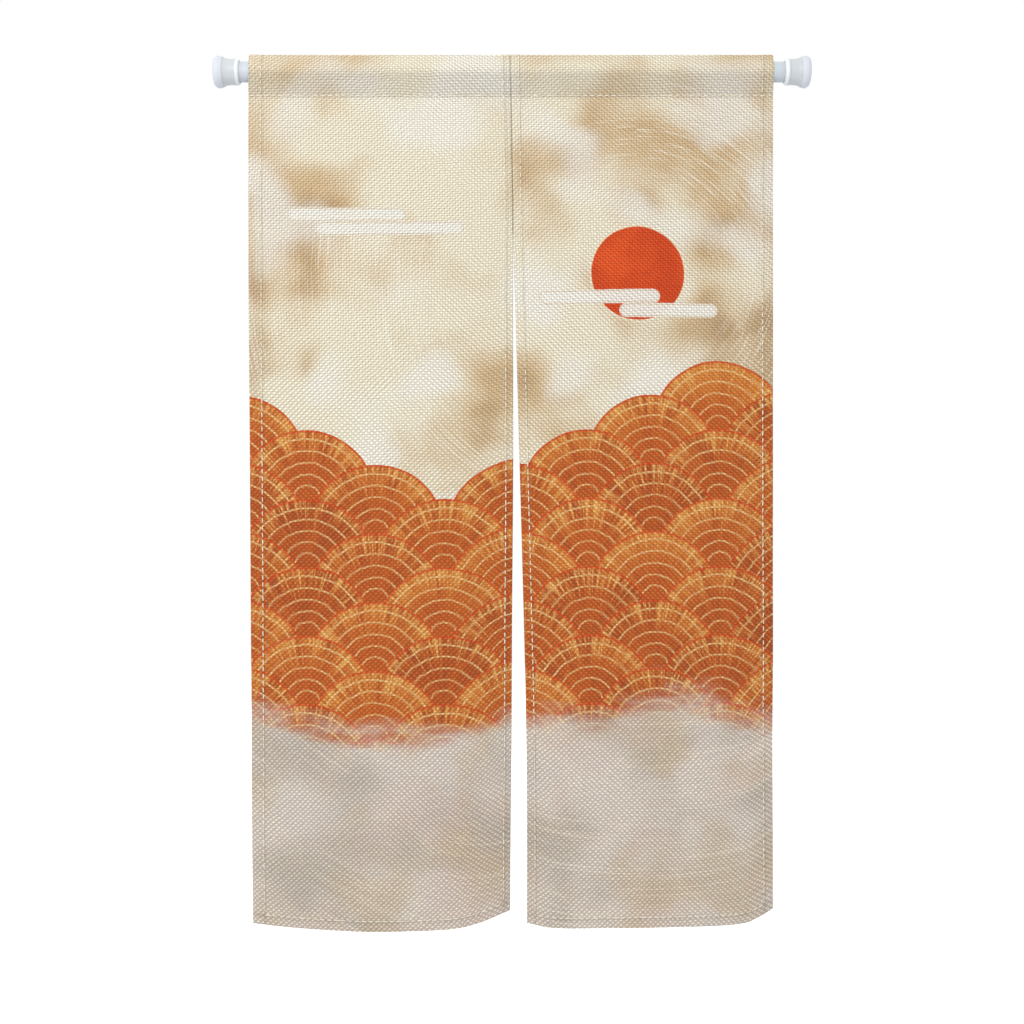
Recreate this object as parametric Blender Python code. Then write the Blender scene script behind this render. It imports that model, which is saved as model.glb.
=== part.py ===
"""A two-panel noren curtain, 860 mm wide, hanging on a white spring tension rod.

The rod lies along X, with the centre of its left foot's flat face at the origin. Y points away from
the viewer and Z points up. Lengths are in metres. Each panel is one sheet of coarse cloth: it starts
behind the rod just below the stitches, goes up and over the rod in a pressed fold, comes down the
front to the row of stitches that closes the pocket, and hangs from there to its hem.
"""
import math

import bmesh
import bpy

# The tension rod. Its middle is halfway between the two feet.
ROD_LENGTH = 0.976
ROD_SEGMENTS = 48
TUBE_RADIUS = 0.0165
TUBE_WALL = 0.0012
SLEEVE_DEPTH = 0.0197
FIT_GAP = 0.0003
MERGE_DISTANCE = 1e-6
SHARP_ANGLE = math.radians(30.0)

# Each end, as distances from the wall face and radii
FOOT_BACK = 0.0147
FOOT_RIM = ((0.0, 0.0210), (0.0010, 0.0225), (0.0027, 0.0240), (0.0053, 0.0255), (0.0080, 0.0260),
            (0.0112, 0.0253), (0.0147, 0.0240))
CAP_RIM = ((0.0150, 0.0238), (0.0172, 0.0224), (0.0205, 0.0214), (0.0260, 0.0208), (0.0330, 0.0205),
           (0.0335, 0.0213), (0.0380, 0.0213), (0.0402, 0.0205), (0.0418, 0.0185))
WEB_BACK = 0.0220
PEG_RADIUS = 0.0080
PEG_LENGTH = 0.0050

# Cloth
CLOTH = 0.0012
HEM = 0.0024
HEM_STEP = 0.0015
LAYER_GAP = 0.0004
ROD_CLEARANCE = 0.0004

# The pocket for the rod, measured from the rod's axis
FOLD_HEIGHT = 0.0280
FOLD_RADIUS = 0.0022
STITCH_DROP = 0.0390
BACK_EDGE = 0.0070
FOLD_STEPS = 3
ARC_STEPS = 5

# The hanging cloth, below the stitches
ROWS = 19
COLUMNS = 15
HEMS_START = 0.0160
BOTTOM_HEM = 0.0170
HANG = 1.3650

# Where the panels' edges run, at a distance below the top fold: X of the outer edge of each, X of the
# left panel's inner edge, which is the seam, and how far the right one's inner edge stands from that
SEAM_GAP = 0.0003
EDGES = (
    {"below": 0.000, "left": -0.4316, "seam": -0.0034, "apart": 0.0003, "right": 0.4280},
    {"below": 0.028, "left": -0.4298, "seam": -0.0030, "apart": 0.0003, "right": 0.4268},
    {"below": 0.070, "left": -0.4322, "seam": -0.0020, "apart": 0.0003, "right": 0.4282},
    {"below": 0.295, "left": -0.4324, "seam": 0.0014, "apart": 0.0003, "right": 0.4286},
    {"below": 0.460, "left": -0.4320, "seam": 0.0017, "apart": 0.0049, "right": 0.4293},
    {"below": 0.700, "left": -0.4305, "seam": 0.0020, "apart": 0.0110, "right": 0.4305},
    {"below": 0.950, "left": -0.4296, "seam": 0.0003, "apart": 0.0194, "right": 0.4318},
    {"below": 1.120, "left": -0.4290, "seam": -0.0004, "apart": 0.0239, "right": 0.4328},
    {"below": 1.280, "left": -0.4284, "seam": -0.0016, "apart": 0.0260, "right": 0.4342},
    {"below": 1.434, "left": -0.4276, "seam": -0.0028, "apart": 0.0272, "right": 0.4357},
)

# How each panel hangs, from its outer edge (across 0) to its inner edge (across 1): the length from
# the stitches to the hem, and how far the cloth lies behind the rod's axis halfway down and at the hem
LEFT_FOLDS = (
    {"across": 0.00, "length": 1.3615, "mid": 0.0040, "hem": 0.0140},
    {"across": 0.10, "length": 1.3645, "mid": 0.0020, "hem": 0.0060},
    {"across": 0.25, "length": 1.3662, "mid": -0.0030, "hem": -0.0060},
    {"across": 0.45, "length": 1.3668, "mid": -0.0070, "hem": -0.0180},
    {"across": 0.65, "length": 1.3661, "mid": -0.0050, "hem": -0.0150},
    {"across": 0.80, "length": 1.3658, "mid": -0.0010, "hem": -0.0020},
    {"across": 0.90, "length": 1.3580, "mid": 0.0030, "hem": 0.0120},
    {"across": 1.00, "length": 1.3445, "mid": 0.0075, "hem": 0.0300},
)
RIGHT_FOLDS = (
    {"across": 0.00, "length": 1.3440, "mid": 0.0130, "hem": 0.0400},
    {"across": 0.06, "length": 1.3542, "mid": 0.0090, "hem": 0.0260},
    {"across": 0.12, "length": 1.3610, "mid": 0.0050, "hem": 0.0140},
    {"across": 0.25, "length": 1.3610, "mid": -0.0020, "hem": -0.0040},
    {"across": 0.45, "length": 1.3590, "mid": -0.0080, "hem": -0.0200},
    {"across": 0.70, "length": 1.3607, "mid": -0.0070, "hem": -0.0180},
    {"across": 0.90, "length": 1.3655, "mid": -0.0010, "hem": 0.0000},
    {"across": 1.00, "length": 1.3610, "mid": 0.0045, "hem": 0.0140},
)
PANEL_WIDTH = 0.4300
OUTER_HEMS = {"left": 0.0205, "right": 0.0180}
INNER_HEMS = {"left": 0.0120, "right": 0.0140}


def clear_scene():
    """Removes whatever the file holds."""
    for found in list(bpy.data.objects):
        bpy.data.objects.remove(found, do_unlink=True)


def material(name, colour, roughness, metallic=0.0):
    """A plain Principled material. The colour is linear."""
    made = bpy.data.materials.new(name)
    made.use_nodes = True
    shader = made.node_tree.nodes["Principled BSDF"]
    shader.inputs["Base Color"].default_value = (*colour, 1.0)
    shader.inputs["Roughness"].default_value = roughness
    shader.inputs["Metallic"].default_value = metallic
    made.diffuse_color = (*colour, 1.0)
    return made


def add_object(name, mesh, parent, finish, location=(0.0, 0.0, 0.0), turn=0.0):
    """Places a mesh in the scene as one named part, turned about Z."""
    part = bpy.data.objects.new(name, mesh)
    bpy.context.scene.collection.objects.link(part)
    part.parent = parent
    part.location = location
    part.rotation_euler = (0.0, 0.0, turn)
    if not mesh.materials:
        mesh.materials.append(finish)
    return part


def turned(name, profile, closed):
    """A mesh turned about X from (x, radius) points. An open profile starts and ends on the axis."""
    shape = bmesh.new()
    corners = [shape.verts.new((x, 0.0, radius)) for x, radius in profile]
    edges = [shape.edges.new(pair) for pair in zip(corners, corners[1:])]
    if closed:
        edges.append(shape.edges.new((corners[-1], corners[0])))
    bmesh.ops.spin(shape, geom=corners + edges, cent=(0.0, 0.0, 0.0), axis=(1.0, 0.0, 0.0),
                   angle=2.0 * math.pi, steps=ROD_SEGMENTS, use_merge=True)
    bmesh.ops.remove_doubles(shape, verts=shape.verts, dist=MERGE_DISTANCE)
    bmesh.ops.recalc_face_normals(shape, faces=shape.faces)
    mesh = bpy.data.meshes.new(name)
    shape.to_mesh(mesh)
    shape.free()
    mesh.shade_smooth()
    mesh.set_sharp_from_angle(angle=SHARP_ANGLE)
    return mesh


def tube_mesh():
    """The steel tube, open at both ends, which stop inside the caps."""
    half = ROD_LENGTH / 2.0 - WEB_BACK - FIT_GAP
    bore = TUBE_RADIUS - TUBE_WALL
    profile = [(-half, TUBE_RADIUS), (half, TUBE_RADIUS), (half, bore), (-half, bore)]
    return turned("rod_tube", profile, True)


def cap_mesh():
    """An end cap: a collared sleeve over the tube, closed by a web with a socket for the foot's peg.

    Its local +X points to the wall, and the wall face is at 0.
    """
    sleeve = TUBE_RADIUS + FIT_GAP
    socket = PEG_RADIUS + FIT_GAP
    socket_floor = FOOT_BACK + PEG_LENGTH + 2.0 * FIT_GAP
    mouth = WEB_BACK + SLEEVE_DEPTH
    profile = [(-WEB_BACK, 0.0), (-WEB_BACK, sleeve), (-mouth, sleeve)]
    profile += [(-back, radius) for back, radius in reversed(CAP_RIM)]
    profile += [(-CAP_RIM[0][0], socket), (-socket_floor, socket), (-socket_floor, 0.0)]
    return turned("end_cap", profile, False)


def foot_mesh():
    """The soft foot that presses on the wall, with a peg into the cap. Local axes as the cap's."""
    peg_end = FOOT_BACK + PEG_LENGTH
    profile = [(-peg_end, 0.0), (-peg_end, PEG_RADIUS), (-FOOT_BACK, PEG_RADIUS)]
    profile += [(-back, radius) for back, radius in reversed(FOOT_RIM)]
    profile += [(0.0, 0.0)]
    return turned("foot", profile, False)


def smooth_value(table, key, column, place):
    """Reads a column of a table at a place along its key, on a smooth curve through the rows."""
    rows = sorted(table, key=lambda row: row[key])
    index = 0
    while index < len(rows) - 2 and place > rows[index + 1][key]:
        index += 1
    low, high = rows[index], rows[index + 1]
    before, after = rows[max(index - 1, 0)], rows[min(index + 2, len(rows) - 1)]
    span = high[key] - low[key]
    share = min(max((place - low[key]) / span, 0.0), 1.0)
    slope_low = (high[column] - before[column]) / (high[key] - before[key]) * span
    slope_high = (after[column] - low[column]) / (after[key] - low[key]) * span
    square, cube = share * share, share * share * share
    return (
        (2.0 * cube - 3.0 * square + 1.0) * low[column]
        + (cube - 2.0 * square + share) * slope_low
        + (3.0 * square - 2.0 * cube) * high[column]
        + (cube - square) * slope_high
    )


def pocket_front():
    """(y, z) of the cloth's outer face, from the top of the fold down the front to the stitches."""
    pocket = TUBE_RADIUS + ROD_CLEARANCE + CLOTH
    fold_centre = FOLD_HEIGHT - FOLD_RADIUS
    face = CLOTH + LAYER_GAP / 2.0
    lean = math.asin((pocket - FOLD_RADIUS) / fold_centre)
    reach = math.hypot(face, STITCH_DROP)
    leave = math.acos(pocket / reach) - math.atan2(STITCH_DROP, face)
    points = []
    for step in range(FOLD_STEPS + 1):
        angle = math.pi / 2.0 + (lean - math.pi / 2.0) * step / FOLD_STEPS
        points.append((-FOLD_RADIUS * math.cos(angle), fold_centre + FOLD_RADIUS * math.sin(angle)))
    for step in range(ARC_STEPS + 1):
        angle = lean + (leave - lean) * step / ARC_STEPS
        points.append((-pocket * math.cos(angle), pocket * math.sin(angle)))
    points.append((-face, -STITCH_DROP))
    return points


def heading_path():
    """(y, z) of the outer face from the turned edge at the back, over the rod, to the front stitches."""
    front = pocket_front()
    back = [(-y, z) for y, z in reversed(front[1:])]
    edge = (back[0][0], back[0][1] - BACK_EDGE)
    return [edge] + back + front


def across_shares(side):
    """Where a panel's columns lie, from its outer edge (0) to its inner one (1), and if in a side hem."""
    outer = OUTER_HEMS[side] / PANEL_WIDTH
    inner = 1.0 - INNER_HEMS[side] / PANEL_WIDTH
    step = HEM_STEP / PANEL_WIDTH
    shares = [(0.0, True), (outer, True)]
    for column in range(COLUMNS + 1):
        share = outer + step + (inner - outer - 2.0 * step) * column / COLUMNS
        shares.append((share, False))
    shares += [(inner, True), (1.0, True)]
    return shares


def hang_drops():
    """How far down the hanging rows lie, from the stitches (0) to the hem (1).

    With each comes whether its side hems are doubled there, and whether it is in the bottom hem.
    """
    hem = 1.0 - BOTTOM_HEM / HANG
    start = HEMS_START / HANG
    step = HEM_STEP / HANG
    drops = [(start, False, False), (start + step, True, False)]
    first, last = start + step, hem - step
    for row in range(1, ROWS + 1):
        drops.append((first + (last - first) * row / ROWS, True, False))
    drops += [(hem, True, True), (1.0, True, True)]
    return drops


def hang_point(side, folds, across, down):
    """The outer face of the hanging cloth, at shares across the panel and down from the stitches."""
    length = smooth_value(folds, "across", "length", across)
    mid = smooth_value(folds, "across", "mid", across)
    hem = smooth_value(folds, "across", "hem", across)
    face = CLOTH + LAYER_GAP / 2.0
    depth = 4.0 * down * (1.0 - down) * mid + down * (2.0 * down - 1.0) * hem
    below = FOLD_HEIGHT + STITCH_DROP + down * HANG
    x = edge_x(side, across, below)
    return (x, depth - face, -STITCH_DROP - down * length)


def edge_x(side, across, below):
    """X at a share across a panel, at a distance below the top fold."""
    outer = smooth_value(EDGES, "below", side, below)
    inner = smooth_value(EDGES, "below", "seam", below)
    if side == "right":
        inner += max(SEAM_GAP, smooth_value(EDGES, "below", "apart", below))
    return outer + (inner - outer) * across


def panel_mesh(side, folds):
    """One panel as a grid of its outer face, with the vertices of its doubled hems marked by weight."""
    shape = bmesh.new()
    hem_layer = shape.verts.layers.deform.verify()
    shares = across_shares(side)
    grid = []
    for y, z in heading_path():
        below = FOLD_HEIGHT - z
        grid.append([shape.verts.new((edge_x(side, across, below), y, z)) for across, _ in shares])
    for down, side_hems, bottom_hem in hang_drops():
        row = []
        for across, in_side_hem in shares:
            vert = shape.verts.new(hang_point(side, folds, across, down))
            if bottom_hem or (side_hems and in_side_hem):
                vert[hem_layer][0] = 1.0
            row.append(vert)
        grid.append(row)
    for upper, lower in zip(grid, grid[1:]):
        for column in range(len(shares) - 1):
            shape.faces.new((upper[column], upper[column + 1], lower[column + 1], lower[column]))
    bmesh.ops.recalc_face_normals(shape, faces=shape.faces)
    shape.faces.ensure_lookup_table()
    if shape.faces[-1].normal.y > 0.0:
        bmesh.ops.reverse_faces(shape, faces=shape.faces)
    mesh = bpy.data.meshes.new("panel_" + side)
    shape.to_mesh(mesh)
    shape.free()
    mesh.shade_smooth()
    return mesh


def add_panel(side, folds, parent, finish):
    """A panel: the grid thickened inwards, with its hems twice as thick as the single cloth."""
    panel = add_object("panel_" + side, panel_mesh(side, folds), parent, finish)
    panel.vertex_groups.new(name="hems")
    thicken = panel.modifiers.new("thickness", "SOLIDIFY")
    thicken.thickness = HEM
    thicken.offset = -1.0
    thicken.use_even_offset = True
    thicken.vertex_group = "hems"
    thicken.thickness_vertex_group = CLOTH / HEM
    return panel


def add_rod(parent):
    """The tube with a cap and a foot at each end."""
    enamel = material("tube_enamel", (0.610, 0.680, 0.730), 0.30)
    plastic = material("cap_plastic", (0.670, 0.720, 0.740), 0.35)
    rubber = material("foot_rubber", (0.780, 0.800, 0.870), 0.50)
    add_object("rod_tube", tube_mesh(), parent, enamel)
    cap, foot = cap_mesh(), foot_mesh()
    half = ROD_LENGTH / 2.0
    for side, place, turn in (("left", -half, math.pi), ("right", half, 0.0)):
        add_object("cap_" + side, cap, parent, plastic, (place, 0.0, 0.0), turn)
        add_object("foot_" + side, foot, parent, rubber, (place, 0.0, 0.0), turn)


def main():
    """Builds the whole curtain about the middle of its rod, and moves that to its place."""
    clear_scene()
    middle = bpy.data.objects.new("rod_middle", None)
    bpy.context.scene.collection.objects.link(middle)
    middle.location = (ROD_LENGTH / 2.0, 0.0, 0.0)
    add_rod(middle)
    cloth = material("printed_cloth", (0.700, 0.600, 0.440), 0.90)
    add_panel("left", LEFT_FOLDS, middle, cloth)
    add_panel("right", RIGHT_FOLDS, middle, cloth)
    bpy.context.view_layer.update()


main()
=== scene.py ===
"""The looks of a two-panel noren curtain: printed coarse cloth on a white tension rod.

The frame gives the solids. Each panel is made again as a finer sheet on the same folds, with rounded
hems and sewn stitches, and the rod's pieces are turned again with softer edges. Lengths are in metres.
"""
import math

import bmesh
import bpy
import numpy as np
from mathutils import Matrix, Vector


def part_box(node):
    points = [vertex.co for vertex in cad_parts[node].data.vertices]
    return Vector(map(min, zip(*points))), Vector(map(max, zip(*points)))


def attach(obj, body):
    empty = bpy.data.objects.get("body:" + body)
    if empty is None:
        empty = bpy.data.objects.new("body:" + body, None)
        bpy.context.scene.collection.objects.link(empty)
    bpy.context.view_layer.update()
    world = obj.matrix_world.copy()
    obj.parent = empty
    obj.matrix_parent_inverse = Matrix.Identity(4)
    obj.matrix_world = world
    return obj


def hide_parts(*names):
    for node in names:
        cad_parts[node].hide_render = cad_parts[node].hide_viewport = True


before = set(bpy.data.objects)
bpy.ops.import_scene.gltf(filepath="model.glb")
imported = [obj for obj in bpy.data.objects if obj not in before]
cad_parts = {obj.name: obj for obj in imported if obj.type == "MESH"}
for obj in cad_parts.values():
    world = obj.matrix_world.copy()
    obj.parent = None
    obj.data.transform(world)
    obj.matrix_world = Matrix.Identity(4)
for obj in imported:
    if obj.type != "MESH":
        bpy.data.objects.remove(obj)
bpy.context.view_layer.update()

# The rod
ROD_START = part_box("foot_left")[0][0]
ROD_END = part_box("foot_right")[1][0]
ROD_MIDDLE = (ROD_START + ROD_END) / 2.0
TUBE_RADIUS = 0.0165
TUBE_WALL = 0.0012
FIT_GAP = 0.0003
ROD_SEGMENTS = 128
WEB_BACK = 0.0220

# Which way along X each side lies from the middle
FACING = {"left": -1.0, "right": 1.0}

# Cloth
CLOTH = 0.0012
HEM = 0.0024
LAYER_GAP = 0.0004
ROD_CLEARANCE = 0.0004
WARP_PITCH = 0.00443
WEFT_PITCH = 0.00425

# The pocket for the rod, measured from the rod's axis
FOLD_HEIGHT = 0.0280
FOLD_RADIUS = 0.0022
STITCH_DROP = 0.0390
BACK_EDGE = 0.0070
ARC_STEPS = 24

# The hanging cloth, below the stitches
HANG = 1.3650
HEMS_START = 0.0160
PANEL_WIDTH = 0.4300
SEAM_END = 0.2950
SEAM_OPENS = 0.020
SEAM_GAP = 0.0003
SEAM_PLAY = 0.0001

# Where the panels' edges run, at a distance below the top fold: X of the outer edge of each, X of the
# left panel's inner edge, which is the seam, and how far the right one's inner edge stands from that
EDGES = (
    {"below": 0.000, "left": -0.4316, "seam": -0.0034, "apart": 0.0003, "right": 0.4280},
    {"below": 0.028, "left": -0.4298, "seam": -0.0030, "apart": 0.0003, "right": 0.4268},
    {"below": 0.070, "left": -0.4322, "seam": -0.0020, "apart": 0.0003, "right": 0.4282},
    {"below": 0.295, "left": -0.4324, "seam": 0.0014, "apart": 0.0003, "right": 0.4286},
    {"below": 0.460, "left": -0.4320, "seam": 0.0017, "apart": 0.0049, "right": 0.4293},
    {"below": 0.700, "left": -0.4305, "seam": 0.0020, "apart": 0.0110, "right": 0.4305},
    {"below": 0.950, "left": -0.4296, "seam": 0.0003, "apart": 0.0194, "right": 0.4318},
    {"below": 1.120, "left": -0.4290, "seam": -0.0004, "apart": 0.0239, "right": 0.4328},
    {"below": 1.280, "left": -0.4284, "seam": -0.0016, "apart": 0.0260, "right": 0.4342},
    {"below": 1.434, "left": -0.4276, "seam": -0.0028, "apart": 0.0272, "right": 0.4357},
)

# How each panel hangs, from its outer edge (across 0) to its inner edge (across 1): the length from
# the stitches to the hem, and how far the cloth lies behind the rod's axis halfway down and at the hem
FOLDS = {
    "left": (
        {"across": 0.00, "length": 1.3615, "mid": 0.0040, "hem": 0.0140},
        {"across": 0.10, "length": 1.3645, "mid": 0.0020, "hem": 0.0060},
        {"across": 0.25, "length": 1.3662, "mid": -0.0030, "hem": -0.0060},
        {"across": 0.45, "length": 1.3668, "mid": -0.0070, "hem": -0.0180},
        {"across": 0.65, "length": 1.3661, "mid": -0.0050, "hem": -0.0150},
        {"across": 0.80, "length": 1.3658, "mid": -0.0010, "hem": -0.0020},
        {"across": 0.90, "length": 1.3580, "mid": 0.0030, "hem": 0.0120},
        {"across": 1.00, "length": 1.3445, "mid": 0.0075, "hem": 0.0300},
    ),
    "right": (
        {"across": 0.00, "length": 1.3440, "mid": 0.0130, "hem": 0.0400},
        {"across": 0.06, "length": 1.3542, "mid": 0.0090, "hem": 0.0260},
        {"across": 0.12, "length": 1.3610, "mid": 0.0050, "hem": 0.0140},
        {"across": 0.25, "length": 1.3610, "mid": -0.0020, "hem": -0.0040},
        {"across": 0.45, "length": 1.3590, "mid": -0.0080, "hem": -0.0200},
        {"across": 0.70, "length": 1.3607, "mid": -0.0070, "hem": -0.0180},
        {"across": 0.90, "length": 1.3655, "mid": -0.0010, "hem": 0.0000},
        {"across": 1.00, "length": 1.3610, "mid": 0.0045, "hem": 0.0140},
    ),
}

# Rows of stitches: how far in from each edge, and how deep the hem's turned band is
OUTER_STITCH = {"left": 0.0205, "right": 0.0180}
INNER_STITCH = {"left": 0.0120, "right": 0.0140}
BAND_PAST_STITCH = 0.0025
BOTTOM_STITCH = 0.0170
STITCH_PITCH = 0.0116
STITCH_LENGTH = 0.0090
THREAD_RADIUS = 0.00105
THREAD_SIDES = 6

# How the cloth's face gives: bulging hems, drawn-in stitches, and slow waves
BAND_STEP = 0.0006
HEM_FADE = 0.0030
HEM_PROUD = 0.0005
HEM_ROUND = 0.42
HEM_MOST = 1.2
DENT_DEPTH = 0.0006
DENT_WIDTH = 0.0013
DENT_BEAT = 0.35
DENT_AT_TOP = 0.35
PUCKER = 0.00012
PUCKER_WIDTH = 0.0060
HEADING_PULL = 0.6
HANG_FADE = 0.05
GIVE = (
    {"height": 0.00045, "wide": 0.310, "long": 0.520, "start": 0.4},
    {"height": 0.00030, "wide": -0.170, "long": 0.290, "start": 2.1},
    {"height": 0.00018, "wide": 0.083, "long": -0.410, "start": 4.0},
)

# The cloth's grid: extra lines at edges and stitches, and how the edges round off
EDGE_LINES = (0.0, 0.00012, 0.00035, 0.0008, 0.0016)
STITCH_LINES = (-0.0022, -0.0008, 0.0, 0.0008, 0.0022)
GRID_PITCH = 0.0045
GRID_GAP = 0.0009
CREASE_SKIP = 2
EDGE_ROUND = 0.65
NORMAL_STEP = 0.0004

# Stitches: how uneven they are, how their thread arches and sinks in, its points and its twist
STITCH_UNEVEN = 0.0009
STITCH_SLANT = 0.00018
LENGTH_UNEVEN = 0.16
THREAD_ARCH = 1.3
THREAD_SUNK = 0.7
THREAD_ENDS = 0.45
STITCH_SEED = {"left": 11, "right": 12}
DASH_RINGS = 6
THREAD_TWIST = 0.0011
TWIST_SHADE = 0.22
TWIST_DEPTH = 0.00012
THREAD_LEVEL = 0.80
THREAD_ROUGHNESS = (0.75, 0.55)
THREAD_SHEEN = 0.2

# The rod's end pieces: distance from the wall's face and radius, along each rim
SLEEVE_DEPTH = 0.0197
PEG_RADIUS = 0.0080
PEG_LENGTH = 0.0050
FOOT_BACK = 0.0149
FOOT_RIM = (
    (0.0, 0.0210),
    (0.0010, 0.0225),
    (0.0027, 0.0240),
    (0.0053, 0.0255),
    (0.0080, 0.0260),
    (0.0112, 0.0253),
    (0.0149, 0.0240),
)
CAP_RIM = (
    (0.0150, 0.0238),
    (0.0172, 0.0224),
    (0.0205, 0.0214),
    (0.0260, 0.0208),
    (0.0330, 0.0205),
    (0.0335, 0.0213),
    (0.0380, 0.0213),
    (0.0402, 0.0205),
    (0.0418, 0.0185),
)
ROUND_STEPS = 4
TUBE_EDGE = 0.0004
CAP_EDGE = 0.0004
FOOT_EDGE = 0.0003
SHARP_TURN = math.radians(45.0)
SOFT_REACH = 0.0020
MERGE_DISTANCE = 0.000001

# The weave's looks: its mean light, and how much its gaps (painted shade) and crossings (painted light) show
# at the top and the hem
WEAVE_LIGHT = 0.76
WARP_GAPS = (0.22, 0.12)
WEFT_GAPS = (0.34, 0.26)
CROSSINGS = (0.15, 0.28)
MEAN_COSINE = 2.0 / math.pi
THREAD_LEANS = (0.75, 0.22)
LEAN_ASIDE = 0.5
THREAD_DRIFT = 0.012
WARP_SLANT = 0.006
WEFT_SLANT = 0.012
WEFT_WIDEST = 0.83
WEFT_CLOSER = 0.079
THREAD_UNEVEN = 0.50
FIBRE_UNEVEN = 0.20
WEAVE_DEPTH = 0.0006
# Painted shade: at the panels' edges, beside the stitches, on the pocket under the rod, and in the seam's
# groove
EDGE_SHADE = 0.10
SEWN_SHADE = 0.24
SEWN_WIDTH = 0.0013
SEWN_ASIDE = 0.0012
POCKET_SHADE = 0.13
SEAM_DARK = 0.0015
SEAM_SHADE = 0.36
SEAM_FADE = 0.003
REVERSE_PALER = 0.45
CLOTH_ROUGHNESS = (0.95, 0.80)
CLOTH_SPECULAR = 0.25
CLOTH_SHEEN = 0.12
SHEEN_ROUGHNESS = 0.5

# Where the weave and the painted shades change, as distances from an edge or below the top fold
WEAVE_CHANGES = (0.70, 1.50)
TURNED_SIDE = (0.0235, 0.0240)
TURNED_END = (0.0205, 0.0200)
EDGE_DARK = (0.0004, 0.0016)
UNDER_ROD = (0.024, 0.042)
UNDER_ROD_END = (0.064, 0.068)

# The third number stored with the cloth is 0 on its face, 1 on its back and 2 on a hem's back
ON_BACK = (0.45, 0.55)
ON_HEM = (1.45, 1.55)

# The print: a disc with bars of mist over a washed ground, and a swell of fans that fades to the hem
HAND_DRIFT = 0.006
WASH_DRIFT = 0.035
DISC_U = 0.205
DISC_V = 0.360
DISC_RADIUS = 0.078
MIST_BARS = (
    {"u": 0.140, "v": 0.398, "half": 0.090, "round": 0.0115},
    {"u": 0.255, "v": 0.421, "half": 0.070, "round": 0.0115},
    {"u": -0.270, "v": 0.262, "half": 0.085, "round": 0.0115},
    {"u": -0.200, "v": 0.285, "half": 0.110, "round": 0.0115},
)
FAN_RADIUS = 0.112
FAN_RINGS = (0.87, 0.70, 0.53, 0.36, 0.20)
RING_HALF = 0.014
SWELL_TOP = 0.690
SWELL_HEIGHT = 0.085
SWELL_TURNS = 7.0
SWELL_START = 2.6
FADE_START = 1.03
FADE_END = 1.14


def linear(red, green, blue):
    """A linear colour from the 0 to 255 values of a screen."""
    shares = [value / 255.0 for value in (red, green, blue)]
    return tuple(s / 12.92 if s <= 0.04045 else ((s + 0.055) / 1.055) ** 2.4 for s in shares)


# The print's colours
CREAM = linear(240, 231, 206)
TAN = linear(216, 188, 146)
BROWN = linear(182, 150, 112)
PALE = linear(244, 240, 228)
MIST = linear(226, 222, 211)
MIST_GREY = linear(200, 197, 184)
MIST_ROSE = linear(222, 204, 193)
MIST_TAN = linear(206, 191, 158)
STROKE_LIGHT = linear(250, 244, 226)
BRIGHT_ORANGE = linear(232, 88, 32)
RED_ORANGE = linear(212, 72, 24)
LIGHT_STRAW = linear(240, 189, 109)
STRAW = linear(219, 136, 60)
ORANGE = linear(199, 98, 37)
DEEP_ORANGE = linear(168, 77, 32)
RING_CREAM = linear(246, 232, 200)
RING_STRAW = linear(246, 210, 144)
REVERSE = linear(240, 235, 222)
THREAD_LIGHT = linear(248, 243, 226)
THREAD_DARK = linear(232, 222, 196)

# The rod's finishes, and rings of painted light and shade: how far their middle lies from the rod's end,
# half their width, and the colour. The collar's lighter ring is a painted highlight on its ridge; the
# tube's greyer ring is painted shade next to the collar
ENAMEL = {"light": linear(199, 209, 215), "dark": linear(191, 202, 210), "roughness": 0.42, "grain": 1e-5}
PLASTIC = {"light": linear(201, 206, 209), "dark": linear(196, 201, 205), "roughness": 0.33, "grain": 2e-5}
RUBBER = {"light": linear(212, 217, 225), "dark": linear(205, 210, 219), "roughness": 0.42, "grain": 3e-5}
TUBE_SHADE_BAND = {"middle": 0.0450, "half": 0.0036, "colour": linear(197, 200, 206)}
COLLAR_HIGHLIGHT = {"middle": 0.0397, "half": 0.0039, "colour": linear(231, 237, 242)}

# Camera, floor and light
LENS = 50.0
SENSOR = 36.0
CAMERA_DISTANCE = 2.334
CAMERA_Z = -0.722
CAMERA_REACH = 50.0
FLOOR_Z = -1.620
FLOOR_SIZE = 12.0
FLOOR_COLOUR = (0.90, 0.90, 0.90)
FLOOR_ROUGHNESS = 0.9
BACKDROP = 1.0
ROOM_LIGHT = 0.945
LIGHT_BELOW = (0.96, 0.96, 1.00)
LIGHT_ABOVE = (1.04, 1.04, 1.03)
LIGHT_TURNS = 0.7
FLOOR_LIGHT = 1.6
FLOOR_LAMP_ANGLE = math.radians(25)
KEY_FROM_MIDDLE = (-1.3, -2.4, 1.5)
KEY_SIZE = 1.6
KEY_POWER = 30.0
KEY_COLOUR = (1.0, 0.99, 0.975)


def smooth_values(table, key, column, places):
    """Reads a column of a table at many places along its key, on a smooth curve through the rows."""
    xs = np.array([row[key] for row in table])
    ys = np.array([row[column] for row in table])
    slopes = np.empty(len(xs))
    slopes[1:-1] = (ys[2:] - ys[:-2]) / (xs[2:] - xs[:-2])
    slopes[0] = (ys[1] - ys[0]) / (xs[1] - xs[0])
    slopes[-1] = (ys[-1] - ys[-2]) / (xs[-1] - xs[-2])
    index = np.clip(np.searchsorted(xs, places, side="right") - 1, 0, len(xs) - 2)
    span = xs[index + 1] - xs[index]
    share = np.clip((places - xs[index]) / span, 0.0, 1.0)
    square, cube = share**2, share**3
    return (
        (2.0 * cube - 3.0 * square + 1.0) * ys[index]
        + (cube - 2.0 * square + share) * slopes[index] * span
        + (3.0 * square - 2.0 * cube) * ys[index + 1]
        + (cube - square) * slopes[index + 1] * span
    )


def smooth_step(low, high, values):
    """0 below low, 1 above high, and an even curve between."""
    share = np.clip((values - low) / (high - low), 0.0, 1.0)
    return share * share * (3.0 - 2.0 * share)


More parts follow.
